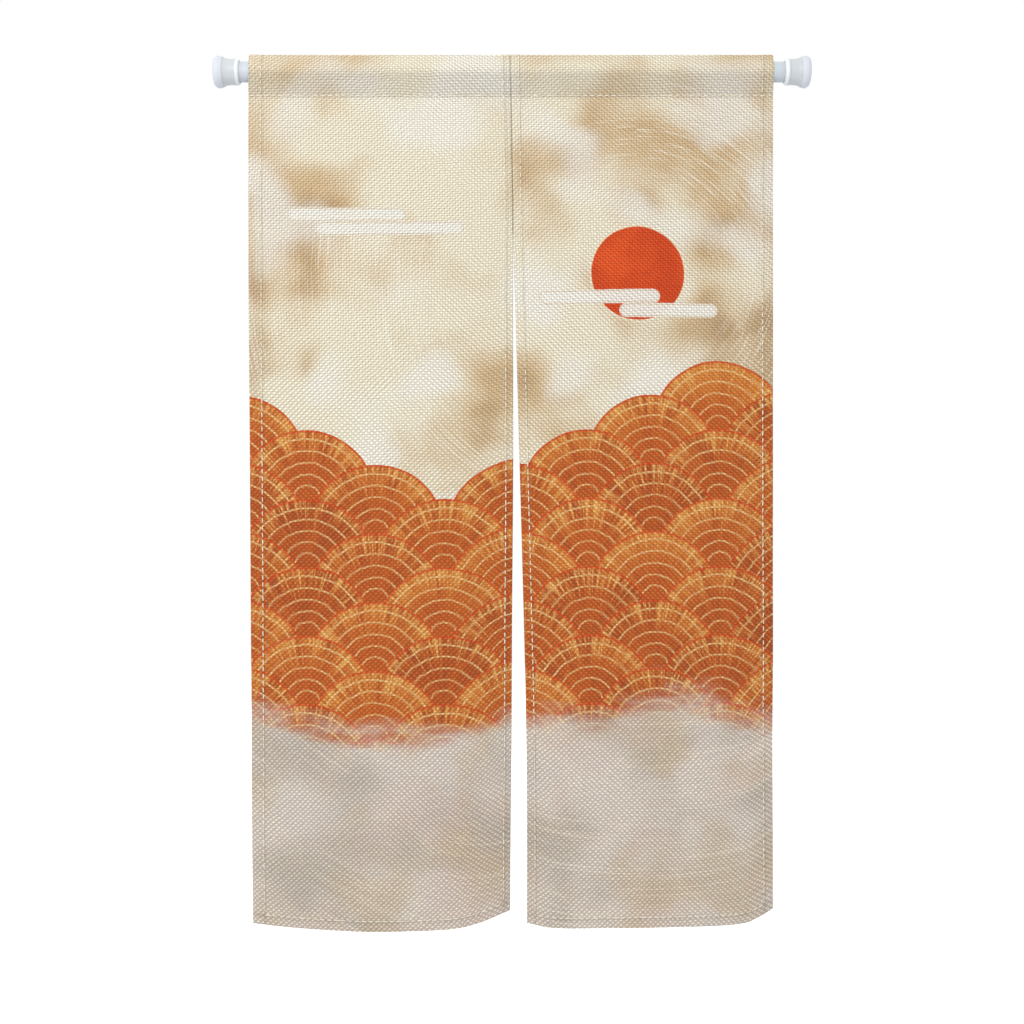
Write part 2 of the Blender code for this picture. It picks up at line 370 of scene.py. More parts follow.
def heading_line():
    """The cloth's outer face over the rod: distances along it from the top fold, and its y and z."""
    pocket = TUBE_RADIUS + ROD_CLEARANCE + CLOTH
    fold_centre = FOLD_HEIGHT - FOLD_RADIUS
    face = CLOTH + LAYER_GAP / 2.0
    lean = math.asin((pocket - FOLD_RADIUS) / fold_centre)
    reach = math.hypot(face, STITCH_DROP)
    leave = math.acos(pocket / reach) - math.atan2(STITCH_DROP, face)
    fold = np.linspace(math.pi / 2.0, lean, ARC_STEPS)
    arc = np.linspace(lean, leave, ARC_STEPS)
    y = np.concatenate([-FOLD_RADIUS * np.cos(fold), -pocket * np.cos(arc), [-face]])
    z = np.concatenate([fold_centre + FOLD_RADIUS * np.sin(fold), pocket * np.sin(arc), [-STITCH_DROP]])
    along = np.concatenate([[0.0], np.cumsum(np.hypot(np.diff(y), np.diff(z)))])
    back_along = -np.append(along, along[-1] + BACK_EDGE)[:0:-1]
    back_y = -np.append(y, y[-1])[:0:-1]
    back_z = np.append(z, z[-1] - BACK_EDGE)[:0:-1]
    return (
        np.concatenate([back_along, along]),
        np.concatenate([back_y, y]),
        np.concatenate([back_z, z]),
    )


LINE_ALONG, LINE_Y, LINE_Z = heading_line()
HEADING = float(LINE_ALONG[-1])
CLOTH_START = float(LINE_ALONG[0])
CLOTH_END = HEADING + HANG
LINE_BELOW = (FOLD_HEIGHT - LINE_Z) * np.sign(LINE_ALONG)
BELOW_END = FOLD_HEIGHT + STITCH_DROP + HANG


def edge_x(side, across, below):
    """X at a share across a panel, at a distance below the top fold."""
    outer = smooth_values(EDGES, "below", side, below)
    inner = smooth_values(EDGES, "below", "seam", below)
    apart = np.maximum(SEAM_GAP, smooth_values(EDGES, "below", "apart", below))
    meet = (SEAM_GAP + SEAM_PLAY) / 2.0 * (1.0 - smooth_step(SEAM_END, SEAM_END + SEAM_OPENS, below))
    if side == "right":
        inner = inner + apart - meet
    else:
        inner = inner + meet
    return ROD_MIDDLE + outer + (inner - outer) * across


def surface(side, across, along):
    """The outer face of a panel, at shares across it and distances along the cloth from the top fold."""
    y = np.interp(along, LINE_ALONG, LINE_Y)
    z = np.interp(along, LINE_ALONG, LINE_Z)
    below = FOLD_HEIGHT - z
    down = np.clip((along - HEADING) / HANG, 0.0, 1.0)
    length = smooth_values(FOLDS[side], "across", "length", across)
    mid = smooth_values(FOLDS[side], "across", "mid", across)
    hem = smooth_values(FOLDS[side], "across", "hem", across)
    depth = 4.0 * down * (1.0 - down) * mid + down * (2.0 * down - 1.0) * hem
    x = edge_x(side, across, below + down * HANG)
    return np.stack([x, y + depth, z - down * length], axis=-1)


def outward(side, across, along):
    """The outer face's normal at the same places."""
    across, along = np.broadcast_arrays(across, along)
    left = surface(side, np.clip(across - NORMAL_STEP, 0.0, 1.0), along)
    right = surface(side, np.clip(across + NORMAL_STEP, 0.0, 1.0), along)
    above = surface(side, across, np.clip(along - NORMAL_STEP, CLOTH_START, CLOTH_END))
    under = surface(side, across, np.clip(along + NORMAL_STEP, CLOTH_START, CLOTH_END))
    normal = np.cross(right - left, under - above) * FACING[side]
    return normal / np.linalg.norm(normal, axis=-1, keepdims=True)


def hem_weight(side, across, along):
    """How much of a place is doubled by a hem: 1 on the turned bands, 0 on single cloth."""
    from_outer = across * PANEL_WIDTH
    from_inner = (1.0 - across) * PANEL_WIDTH
    from_bottom = CLOTH_END - along
    sides = 1.0
    for distance, stitch in ((from_outer, OUTER_STITCH[side]), (from_inner, INNER_STITCH[side])):
        sides = sides * smooth_step(-BAND_STEP, BAND_STEP, distance - stitch - BAND_PAST_STITCH)
    started = smooth_step(-HEM_FADE, HEM_FADE, along - HEADING - HEMS_START)
    bottom = 1.0 - smooth_step(-BAND_STEP, BAND_STEP, from_bottom - BOTTOM_STITCH - BAND_PAST_STITCH)
    return np.maximum((1.0 - sides) * started, bottom)


def stitch_dent(distance, place):
    """How far a row of stitches draws the cloth in, at a distance from it and a place along it."""
    wave = np.cos(2.0 * np.pi * place / STITCH_PITCH)
    pull = DENT_DEPTH * np.exp(-((distance / DENT_WIDTH) ** 2))
    pucker = PUCKER * np.exp(-((distance / PUCKER_WIDTH) ** 2))
    return pull * (1.0 - DENT_BEAT + DENT_BEAT * wave) + pucker * wave


def hem_bulge(distance, stitch):
    """How a hem's band bulges, at a distance in from its edge: 1 halfway to its stitches."""
    return np.exp(-(((distance - stitch * 0.5) / (stitch * HEM_ROUND)) ** 2))


# Painted shadow beside and below the rows of stitches, which darkens the cloth's colour
def sewn(side, across, along):
    """The shaded cloth along a row of stitches, to the right of it or below: 1 there, 0 a little way off."""
    aside = -FACING[side] * SEWN_ASIDE
    lines = (
        across * PANEL_WIDTH - OUTER_STITCH[side] - aside,
        (1.0 - across) * PANEL_WIDTH - INNER_STITCH[side] + aside,
        CLOTH_END - along - BOTTOM_STITCH + SEWN_ASIDE,
        np.abs(along) - HEADING - SEWN_ASIDE,
    )
    return np.minimum(sum(np.exp(-((line / SEWN_WIDTH) ** 2)) for line in lines), 1.0)


def relief(side, across, along):
    """How far the cloth's face stands off its plain surface: hems, stitches and the give of the cloth."""
    from_outer = across * PANEL_WIDTH
    from_inner = (1.0 - across) * PANEL_WIDTH
    from_bottom = CLOTH_END - along
    outer, inner = OUTER_STITCH[side], INNER_STITCH[side]
    hem = hem_bulge(from_outer, outer) + hem_bulge(from_inner, inner) + hem_bulge(from_bottom, BOTTOM_STITCH)
    dents = stitch_dent(from_outer - outer, along) + stitch_dent(from_inner - inner, along)
    dents = dents + stitch_dent(from_bottom - BOTTOM_STITCH, across * PANEL_WIDTH)
    dents = dents + stitch_dent(np.abs(along) - HEADING, across * PANEL_WIDTH) * HEADING_PULL
    hanging = smooth_step(HEADING, HEADING + HANG_FADE, along)
    place = FACING[side] * from_inner
    give = 0.0
    for wave in GIVE:
        turns = place / wave["wide"] + along / wave["long"]
        give = give + wave["height"] * np.sin(2.0 * np.pi * turns + wave["start"])
    drawn_in = dents * (DENT_AT_TOP + (1.0 - DENT_AT_TOP) * hanging)
    return HEM_PROUD * np.minimum(hem, HEM_MOST) - drawn_in + give * hanging


def face_points(side, across, along):
    """The finished outer face, and its normals."""
    across, along = np.broadcast_arrays(across, along)
    normal = outward(side, across, along)
    return surface(side, across, along) + normal * relief(side, across, along)[..., None], normal


def thickness(side, across, along):
    """How thick the cloth is, single or hemmed."""
    return CLOTH + (HEM - CLOTH) * hem_weight(side, across, along)


def placed(base, special, gap):
    """Grid lines: the special ones, and the even ones that aren't close to a special one."""
    special = np.unique(np.round(special, 7))
    kept = [place for place in base if np.abs(special - place).min() > gap]
    return np.sort(np.concatenate([special, kept]))


def grid_across(side):
    """Where the columns lie, in from the outer edge: even ones, and more at edges and stitches."""
    outer, inner = OUTER_STITCH[side], INNER_STITCH[side]
    even = PANEL_WIDTH - np.arange(0.0, PANEL_WIDTH, GRID_PITCH)
    special = list(EDGE_LINES) + [PANEL_WIDTH - line for line in EDGE_LINES]
    for line in STITCH_LINES:
        special += [outer + line, PANEL_WIDTH - inner + line]
    for line in (-BAND_STEP, BAND_STEP):
        special += [outer + BAND_PAST_STITCH + line, PANEL_WIDTH - inner - BAND_PAST_STITCH + line]
    return placed(even, special, GRID_GAP) / PANEL_WIDTH


def grid_along():
    """Where the rows lie along the cloth: even ones, and more at the folds, edges and stitches."""
    even = np.arange(CLOTH_START, CLOTH_END, GRID_PITCH)
    special = [CLOTH_START + line for line in EDGE_LINES] + [CLOTH_END - line for line in EDGE_LINES]
    special += list(LINE_ALONG[np.abs(LINE_ALONG) < HEADING - GRID_GAP][::CREASE_SKIP])
    for line in STITCH_LINES:
        special += [HEADING + line, -HEADING + line, CLOTH_END - BOTTOM_STITCH + line]
    for line in (-BAND_STEP, BAND_STEP):
        special.append(CLOTH_END - BOTTOM_STITCH - BAND_PAST_STITCH + line)
    return placed(even, special, GRID_GAP)


def add_mesh(name, points, faces, finish, attributes):
    """A mesh object with a material and named values at its points."""
    mesh = bpy.data.meshes.new(name)
    mesh.from_pydata(points.tolist(), [], faces)
    for attribute, values in attributes.items():
        layer = mesh.attributes.new(attribute, "FLOAT_VECTOR", "POINT")
        layer.data.foreach_set("vector", values.astype(np.float32).ravel())
    mesh.shade_smooth()
    mesh.materials.append(finish)
    piece = bpy.data.objects.new(name, mesh)
    bpy.context.scene.collection.objects.link(piece)
    return piece


def cloth_piece(side, finish):
    """One panel: a face and a back on the same grid, which meet along rounded edges."""
    across = grid_across(side)[None, :]
    along = grid_along()[:, None]
    rows, columns = along.size, across.size
    face, normal = face_points(side, across, along)
    full = thickness(side, *np.broadcast_arrays(across, along))
    edge = np.minimum(across, 1.0 - across) * PANEL_WIDTH
    edge = np.minimum(edge, np.minimum(along - CLOTH_START, CLOTH_END - along))
    share = np.clip(edge / (full * EDGE_ROUND), 0.0, 1.0)
    thick = full * np.sqrt(np.clip(1.0 - (1.0 - share) ** 2, 0.0, 1.0))
    front = face - normal * ((full - thick) / 2.0)[..., None]
    back = face - normal * ((full + thick) / 2.0)[..., None]

    number = np.arange(rows * columns).reshape(rows, columns)
    inner = np.zeros((rows, columns), bool)
    inner[1:-1, 1:-1] = True
    behind = number.copy()
    behind[inner] = rows * columns + np.arange(inner.sum())
    points = np.concatenate([front.reshape(-1, 3), back[inner]])

    from_seam = FACING[side] * (1.0 - across) * PANEL_WIDTH
    place = np.stack(np.broadcast_arrays(from_seam, below_fold(along), 0.0), axis=-1)
    hems = hem_weight(side, across, along)
    place_behind = place[inner]
    place_behind[:, 2] = 1.0 + hems[inner]
    places = np.concatenate([place.reshape(-1, 3), place_behind])
    # The painted shadow beside the stitches, stored for the cloth's material
    near = np.stack(np.broadcast_arrays(sewn(side, across, along), 0.0, 0.0), axis=-1)
    near = np.concatenate([near.reshape(-1, 3), near[inner]])

    faces = quads(number, side == "left") + quads(behind, side == "right")
    return add_mesh("cloth_" + side, points, faces, finish, {"cloth": places, "sewn": near})


def below_fold(along):
    """Height below the top fold, negative behind it, at a distance along the cloth."""
    return np.interp(along, LINE_ALONG, LINE_BELOW) + np.maximum(along - HEADING, 0.0)


def quads(number, turned_over):
    """The faces of a grid of numbered points."""
    corners = [number[:-1, :-1], number[1:, :-1], number[1:, 1:], number[:-1, 1:]]
    if not turned_over:
        corners.reverse()
    return np.stack(corners, axis=-1).reshape(-1, 4).tolist()


def stitch_rows(side):
    """Each row of stitches as (across, along) of its two ends, and the face it shows on."""
    outer = OUTER_STITCH[side] / PANEL_WIDTH
    inner = 1.0 - INNER_STITCH[side] / PANEL_WIDTH
    bottom = CLOTH_END - BOTTOM_STITCH
    below_flap = HEADING + BACK_EDGE + STITCH_PITCH
    rows = []
    for line in (outer, inner):
        rows.append(((line, CLOTH_START + BACK_EDGE), (line, bottom), "face"))
        rows.append(((line, below_flap), (line, bottom), "back"))
    for face in ("face", "back"):
        rows.append(((outer, bottom), (inner, bottom), face))
    for row in (HEADING, -HEADING):
        rows.append(((0.0, row), (1.0, row), "face"))
    return rows


def dashes(side, start, end, face, chance):
    """The stitches of one row, each a short arched run of thread: rings of points and their normals."""
    (across_start, along_start), (across_end, along_end) = start, end
    wide = (across_end - across_start) * PANEL_WIDTH
    long = along_end - along_start
    length = math.hypot(wide, long)
    count = int(length / STITCH_PITCH)
    middle = (np.arange(count) + 0.5) * STITCH_PITCH + (chance.random(count) - 0.5) * STITCH_UNEVEN
    half = STITCH_LENGTH / 2.0 * (1.0 + (chance.random(count) - 0.5) * LENGTH_UNEVEN)
    run = np.linspace(-1.0, 1.0, DASH_RINGS)
    place = (middle[:, None] + half[:, None] * run[None, :]) / length
    aside = (chance.random(count) - 0.5)[:, None] * STITCH_UNEVEN / 4.0 + run[None, :] * STITCH_SLANT
    across = across_start + (across_end - across_start) * place + aside / PANEL_WIDTH * abs(long) / length
    along = along_start + long * place + aside * abs(wide) / length
    along = np.clip(along, CLOTH_START, CLOTH_END)
    points, normal = face_points(side, np.clip(across, 0.0, 1.0), along)
    if face == "back":
        points = points - normal * thickness(side, across, along)[..., None]
        normal = -normal
    arch = np.sqrt(np.clip(1.0 - run**2, 0.0, 1.0))
    lift = THREAD_RADIUS * (THREAD_ARCH * arch - THREAD_SUNK)
    radius = THREAD_RADIUS * (THREAD_ENDS + (1.0 - THREAD_ENDS) * arch)
    tangent = np.gradient(points, axis=1)
    tangent = tangent / np.linalg.norm(tangent, axis=-1, keepdims=True)
    beside = np.cross(tangent, normal)
    angle = np.linspace(0.0, 2.0 * np.pi, THREAD_SIDES, endpoint=False)
    ring = np.cos(angle)[:, None] * normal[:, :, None, :] + np.sin(angle)[:, None] * beside[:, :, None, :]
    centre = points + normal * lift[None, :, None]
    rings = centre[:, :, None, :] + ring * radius[None, :, None, None]
    run_length = (place * length)[:, :, None]
    around = angle[None, None, :] / (2.0 * np.pi)
    own = chance.random(count)[:, None, None]
    return rings, np.stack(np.broadcast_arrays(run_length, around, own), axis=-1)


def stitches_piece(side, finish):
    """All the stitches of one panel, joined as one mesh."""
    chance = np.random.default_rng(STITCH_SEED[side])
    rings, twists = [], []
    for start, end, face in stitch_rows(side):
        found, twist = dashes(side, start, end, face, chance)
        rings.append(found)
        twists.append(twist)
    rings = np.concatenate(rings)
    twists = np.concatenate(twists)
    count = len(rings)
    number = np.arange(rings.size // 3).reshape(count, DASH_RINGS, THREAD_SIDES)
    beside = np.roll(number, -1, axis=2)
    walls = np.stack([number[:, :-1], beside[:, :-1], beside[:, 1:], number[:, 1:]], axis=-1)
    faces = walls.reshape(-1, 4).tolist()
    faces += number[:, 0, ::-1].tolist() + number[:, -1].tolist()
    attributes = {"thread": twists.reshape(-1, 3)}
    return add_mesh("stitches_" + side, rings.reshape(-1, 3), faces, finish, attributes)


class Field:
    """A number or a colour that varies over a surface, so that a material reads as formulas."""

    def __init__(self, tree, socket):
        self.tree = tree
        self.socket = socket

    def node(self, kind, values, **settings):
        """Adds a node, and links fields to its inputs or writes plain values there."""
        made = self.tree.nodes.new(kind)
        for name, value in settings.items():
            setattr(made, name, value)
        for name, value in values.items():
            if isinstance(value, Field):
                self.tree.links.new(value.socket, made.inputs[name])
            elif isinstance(value, tuple):
                made.inputs[name].default_value = (*value, 1.0)
            else:
                made.inputs[name].default_value = value
        return made

    def math(self, operation, *others):
        """A math node on this field and others."""
        values = dict(enumerate((self, *others)))
        return Field(self.tree, self.node("ShaderNodeMath", values, operation=operation).outputs[0])

    def __add__(self, other):
        return self.math("ADD", other)

    def __sub__(self, other):
        return self.math("SUBTRACT", other)

    def __mul__(self, other):
        return self.math("MULTIPLY", other)

    def __truediv__(self, other):
        return self.math("DIVIDE", other)

    def __abs__(self):
        return self.math("ABSOLUTE")

    def flipped(self):
        """One less this field."""
        return self.math("MULTIPLY_ADD", -1.0, 1.0)

    def step(self, low, high):
        """0 below low, 1 above high, and an even curve between."""
        values = {"Value": self, "From Min": low, "From Max": high}
        made = self.node("ShaderNodeMapRange", values, interpolation_type="SMOOTHSTEP")
        return Field(self.tree, made.outputs["Result"])

    def number(self, low, high):
        """Between two numbers, by this field."""
        made = self.node("ShaderNodeMix", {0: self, 2: low, 3: high}, data_type="FLOAT")
        return Field(self.tree, made.outputs[0])

    def colour(self, low, high):
        """Between two colours, by this field."""
        made = self.node("ShaderNodeMix", {0: self, 6: low, 7: high}, data_type="RGBA")
        return Field(self.tree, made.outputs[2])

    def shaded(self, share):
        """This colour times a field of numbers."""
        made = self.node("ShaderNodeVectorMath", {0: self, "Scale": share}, operation="SCALE")
        return Field(self.tree, made.outputs[0])


def noise(u, v, scale, layer=0.0, detail=2.0, rough=0.5):
    """Smooth noise about 0.5, with features about 1 / scale across."""
    place = u.node("ShaderNodeCombineXYZ", {"X": u, "Y": v, "Z": layer})
    values = {"Vector": Field(u.tree, place.outputs[0]), "Scale": scale, "Detail": detail, "Roughness": rough}
    return Field(u.tree, u.node("ShaderNodeTexNoise", values).outputs[0])


def stored(tree, attribute):
    """The three fields of a value that the mesh stores under a name."""
    source = tree.nodes.new("ShaderNodeAttribute")
    source.attribute_name = attribute
    apart = tree.nodes.new("ShaderNodeSeparateXYZ")
    tree.links.new(source.outputs["Vector"], apart.inputs[0])
    return [Field(tree, socket) for socket in apart.outputs]


def new_material(name, attribute):
    """A material, its Principled node, and the three fields of a stored value."""
    made = bpy.data.materials.new(name)
    made.use_nodes = True
    tree = made.node_tree
    return made, tree.nodes["Principled BSDF"], stored(tree, attribute)


def finish_surface(shader, colour, roughness, height, depth):
    """Links a material's varying colour, roughness and relief to its shader."""
    bump = colour.node("ShaderNodeBump", {"Height": height, "Distance": depth, "Strength": 1.0})
    colour.tree.links.new(colour.socket, shader.inputs["Base Color"])
    colour.tree.links.new(roughness.socket, shader.inputs["Roughness"])
    colour.tree.links.new(bump.outputs[0], shader.inputs["Normal"])


def weave(u, v):
    """The plain weave: how much light its threads give back, which is also how high they stand.

    The gaps between the threads show most at the top, and their crossings at the hem. The weft lies
    closest at the top and widest halfway down. The threads wander, lean mostly outwards, and vary in
    thickness. The dark of the low gaps is painted shade and the light of the high crossings painted
    light, over a bump of the same heights; the uneven threads and fibres are the cloth's own.
    """
    drift_u = noise(u, v, 9.0, 1.0, 5.0, 0.62) - 0.5
    drift_v = noise(u, v, 9.0, 2.0, 5.0, 0.62) - 0.5
    warp = (u + v * WARP_SLANT + drift_u * THREAD_DRIFT) * (math.pi / WARP_PITCH)
    away = v - WEFT_WIDEST
    closer = away * away * away * WEFT_CLOSER
    weft = (v + closer + u * WEFT_SLANT + drift_v * THREAD_DRIFT) * (math.pi / WEFT_PITCH)
    warp_top = warp.math("COSINE")
    weft_top = weft.math("COSINE")
    low = (v + noise(u, v, 4.0, 6.0, 2.0) * 0.9).step(*WEAVE_CHANGES)
    lean = (noise(u, v, 4.5, 5.0, 2.0) + u * LEAN_ASIDE).step(0.40, 0.60).number(-1.0, 1.0)
    lean = lean * low.number(*THREAD_LEANS)
    crossing = warp_top * weft_top + warp.math("SINE") * weft.math("SINE") * lean
    thin = noise(u, v * 0.22, 120.0, 3.0, 1.0).number(1.0 - THREAD_UNEVEN, 1.0 + THREAD_UNEVEN)
    thick = noise(u * 0.22, v, 120.0, 4.0, 1.0).number(1.0 - THREAD_UNEVEN, 1.0 + THREAD_UNEVEN)
    warp_gaps = (abs(warp_top) - MEAN_COSINE) * low.number(*WARP_GAPS) * thin
    weft_gaps = (abs(weft_top) - MEAN_COSINE) * low.number(*WEFT_GAPS) * thick
    light = crossing * low.number(*CROSSINGS) + warp_gaps + weft_gaps + WEAVE_LIGHT
    fibres = noise(u, v, 240.0, 7.0, 1.0).number(1.0 - FIBRE_UNEVEN, 1.0 + FIBRE_UNEVEN)
    return (light * fibres).math("MAXIMUM", 0.2)


def ground(u, v):
    """The washed ground: cream and tan blotches, browner near the edges, paler and greyer to the hem."""
    drawn_u = u + (noise(u, v, 12.0, 15.0, 1.5) - 0.5) * WASH_DRIFT
    drawn_v = v + (noise(u, v, 12.0, 16.0, 1.5) - 0.5) * WASH_DRIFT
    large = noise(drawn_u, drawn_v, 4.2, 11.0, 1.0)
    small = noise(drawn_u, drawn_v, 10.0, 12.0, 1.3)
    side = abs(u).step(0.20, 0.46)
    middle = (abs(v - 0.55) * -1.0).step(-0.42, -0.05)
    tan = (large * 0.6 + small * 0.4 + side * 0.08).step(0.45, 0.64)
    brown = (small * 0.6 + large * 0.4 + side * 0.14 * middle).step(0.56, 0.74)
    pale = noise(drawn_u, drawn_v, 6.0, 13.0, 1.0).step(0.50, 0.66)
    colour = tan.colour(CREAM, TAN)
    colour = (brown * 0.80).colour(colour, BROWN)
    colour = (pale * 0.75).colour(colour, PALE)
    low = (v + small * 0.12).step(0.98, 1.20)
    grey = noise(drawn_u, drawn_v, 5.0, 14.0, 2.0).step(0.43, 0.65)
    rosy = noise(drawn_u, drawn_v, 6.0, 17.0, 2.0).step(0.50, 0.66)
    warm = noise(drawn_u, drawn_v, 7.0, 18.0, 2.0).step(0.46, 0.66)
    misty = (rosy * 0.4).colour(grey.colour(MIST, MIST_GREY), MIST_ROSE)
    misty = (warm * 0.5).colour(misty, MIST_TAN)
    return low.colour(colour, misty)


def fan_row(u, v, row):
    """One row of fans: what of it shows, and the nearest fan's radius share, angle and own chance."""
    odd = (row * 0.5).math("FRACT")
    shifted = u / (2.0 * FAN_RADIUS) + odd
    column = shifted.math("ROUND")
    aside = (shifted - column) * 2.0
    centre_u = (column - odd) * (2.0 * FAN_RADIUS)
    centre_v = row * (FAN_RADIUS / 2.0)
    below = (v - centre_v) / FAN_RADIUS
    radius = (aside * aside + below * below).math("SQRT")
    crest = (centre_u * SWELL_TURNS + SWELL_START).math("SINE") * SWELL_HEIGHT + SWELL_TOP
    drawn = centre_v.math("GREATER_THAN", crest)
    chance = noise(centre_u, centre_v, 37.0, 21.0, 0.0)
    return {
        "inside": radius.math("LESS_THAN", 1.0) * drawn,
        "radius": radius,
        "angle": aside.math("ARCTAN2", below * -1.0),
        "chance": chance,
    }


def fans(u, v):
    """The overlapping fans, each row in front of the one above it."""
    row = (v / (FAN_RADIUS / 2.0)).math("FLOOR")
    shown = fan_row(u, v, row)
    for ahead in (1.0, 2.0):
        front = fan_row(u, v, row + ahead)
        for key in ("radius", "angle", "chance"):
            shown[key] = front["inside"].number(shown[key], front[key])
        shown["inside"] = shown["inside"].math("MAXIMUM", front["inside"])
    return shown


def fan_colour(fan):
    """Straw to deep orange, in fine strokes that spread from the middle, with thin dry rings of straw."""
    radius, angle, chance = fan["radius"], fan["angle"], fan["chance"]
    strokes = noise(angle * 14.0, radius * 1.1, 1.7, chance * 40.0, 4.0, 0.66)
    broad = noise(angle * 2.5, radius * 1.2, 1.3, chance * 40.0 + 7.0, 3.0)
    deep = (radius * -0.9 + strokes * 0.9 + broad * 0.6 + chance * 0.7).step(0.0, 0.70)
    colour = deep.colour(STRAW, ORANGE)
    dark = (strokes * 0.65 + broad * 0.35 + chance * 0.3).step(0.60, 0.82)
    colour = (dark * 0.85).colour(colour, DEEP_ORANGE)
    bright = (strokes.flipped() * 0.75 + radius * 0.25).step(0.58, 0.72)
    colour = (bright * 0.85).colour(colour, LIGHT_STRAW)
    dry = (strokes + broad * 0.3).step(0.50, 0.78).number(0.35, 1.0)
    for ring in FAN_RINGS:
        edge = abs(radius + (broad - 0.5) * 0.05 - ring)
        line = edge.step(RING_HALF * 0.5, RING_HALF * 1.3).flipped()
        colour = (line * dry * 0.75).colour(colour, RING_STRAW)
    outline = radius.step(0.950, 0.985)
    return (outline * 0.8).colour(colour, RED_ORANGE)


def bar(u, v, place):
    """A long round-ended bar of mist: how far a place is from its middle line, in half heights."""
    aside = (abs(u - place["u"]) - place["half"]).math("MAXIMUM", 0.0)
    above = v - place["v"]
    return (aside * aside + above * above).math("SQRT") / place["round"]


def printed(u, v):
    """The print: a washed ground, a plain disc with bars of mist, and fans that fade towards the hem."""
    wander = noise(u, v, 9.0, 31.0, 4.0, 0.6) - 0.5
    wander_v = noise(u, v, 9.0, 32.0, 4.0, 0.6) - 0.5
    warped_u = u + wander * HAND_DRIFT
    warped_v = v + wander_v * HAND_DRIFT
    colour = ground(u, v)

    away_u = warped_u - DISC_U
    away_v = warped_v - DISC_V
    away = (away_u * away_u + away_v * away_v).math("SQRT") / DISC_RADIUS
    around = away_u.math("ARCTAN2", away_v)
    sweep = noise(away * 9.0, around * 0.8, 3.2, 41.0, 4.0, 0.65)
    reach = noise(u, v, 3.6, 42.0, 2.0).step(0.38, 0.58)
    colour = (sweep.step(0.53, 0.65) * reach * 0.62).colour(colour, STROKE_LIGHT)
    disc = away.step(0.975, 1.0).flipped()
    tone = noise(u, v, 14.0, 43.0, 4.0, 0.6).step(0.35, 0.70)
    colour = (away.step(1.0, 1.06).flipped() * 0.75).colour(colour, RING_CREAM)
    colour = disc.colour(colour, tone.colour(RED_ORANGE, BRIGHT_ORANGE))
    for place in MIST_BARS:
        across = bar(warped_u, warped_v, place)
        colour = (across.step(0.96, 1.06).flipped() * 0.94).colour(colour, PALE)
        line = abs(across - 0.84).step(0.04, 0.10).flipped()
        colour = (line * 0.6).colour(colour, TAN)

    fan = fans(warped_u, warped_v)
    streaks = noise(u * 0.3, v, 9.0, 51.0, 5.0, 0.62) - 0.5
    faded = (v + streaks * 0.40).step(FADE_START, FADE_END)
    strength = fan["inside"] * faded.number(1.0, 0.14)
    return strength.colour(colour, fan_colour(fan))


def printed_cloth():
    """The coarse cloth: its print, the paler reverse, the print folded round at the hems, and the weave."""
    made, shader, (u, v, face) = new_material("printed_cloth", "cloth")
    behind = face.step(*ON_BACK)
    hem = face.step(*ON_HEM)
    nearest = (u / PANEL_WIDTH).math("ROUND") * PANEL_WIDTH
    at_side = abs(u - nearest).step(*TURNED_SIDE).flipped() * hem
    at_bottom = v.step(BELOW_END - TURNED_END[0], BELOW_END - TURNED_END[1]) * hem
    print_u = at_side.number(u, nearest * 2.0 - u)
    print_v = at_bottom.number(v, v * -1.0 + 2.0 * BELOW_END)
    colour = printed(print_u, print_v)
    colour = (behind * hem.flipped() * REVERSE_PALER).colour(colour, REVERSE)
    threads = weave(u, v)
    # Painted shade in the groove where the panels meet, down to the slit
    sewn_up = v.step(SEAM_END - SEAM_FADE, SEAM_END + SEAM_FADE).flipped()
    seam = abs(u).step(SEAM_DARK / 2.0, SEAM_DARK).flipped() * sewn_up
    # Painted shade along the rounded edges of each panel
    edge = abs(u - nearest).step(*EDGE_DARK).flipped()
    # Painted shadow beside and below the rows of stitches
    drawn_in = stored(made.node_tree, "sewn")[0]
    shade = (seam * SEAM_SHADE).flipped() * (drawn_in * SEWN_SHADE).flipped() * (edge * EDGE_SHADE).flipped()
    # Painted shade on the pocket below the rod's axis, where the cloth turns down under the rod
    under_rod = abs(v).step(*UNDER_ROD) * abs(v).step(*UNDER_ROD_END).flipped()
    shade = shade * (under_rod * POCKET_SHADE).flipped()
    colour = colour.shaded(threads * shade)
    finish_surface(shader, colour, threads.number(*CLOTH_ROUGHNESS), threads, WEAVE_DEPTH)
    shader.inputs["Specular IOR Level"].default_value = CLOTH_SPECULAR
    shader.inputs["Sheen Weight"].default_value = CLOTH_SHEEN
    shader.inputs["Sheen Roughness"].default_value = SHEEN_ROUGHNESS
    return made


def thread():
    """Twisted sewing thread, a little uneven from stitch to stitch."""
    made, shader, (run, around, chance) = new_material("sewing_thread", "thread")
    twist = ((run * (2.0 * math.pi / THREAD_TWIST)) + around * (2.0 * math.pi)).math("SINE") * 0.5 + 0.5
    worn = (chance * 0.6 + noise(run, chance, 300.0, 61.0) * 0.4).step(0.2, 0.8)
    colour = worn.colour(THREAD_LIGHT, THREAD_DARK)
    # Painted shade in the grooves of the twist, over a bump of the same twist
    lit = colour.shaded(twist * TWIST_SHADE + THREAD_LEVEL)
    finish_surface(shader, lit, twist.number(*THREAD_ROUGHNESS), twist, TWIST_DEPTH)
    shader.inputs["Sheen Weight"].default_value = THREAD_SHEEN
    return made


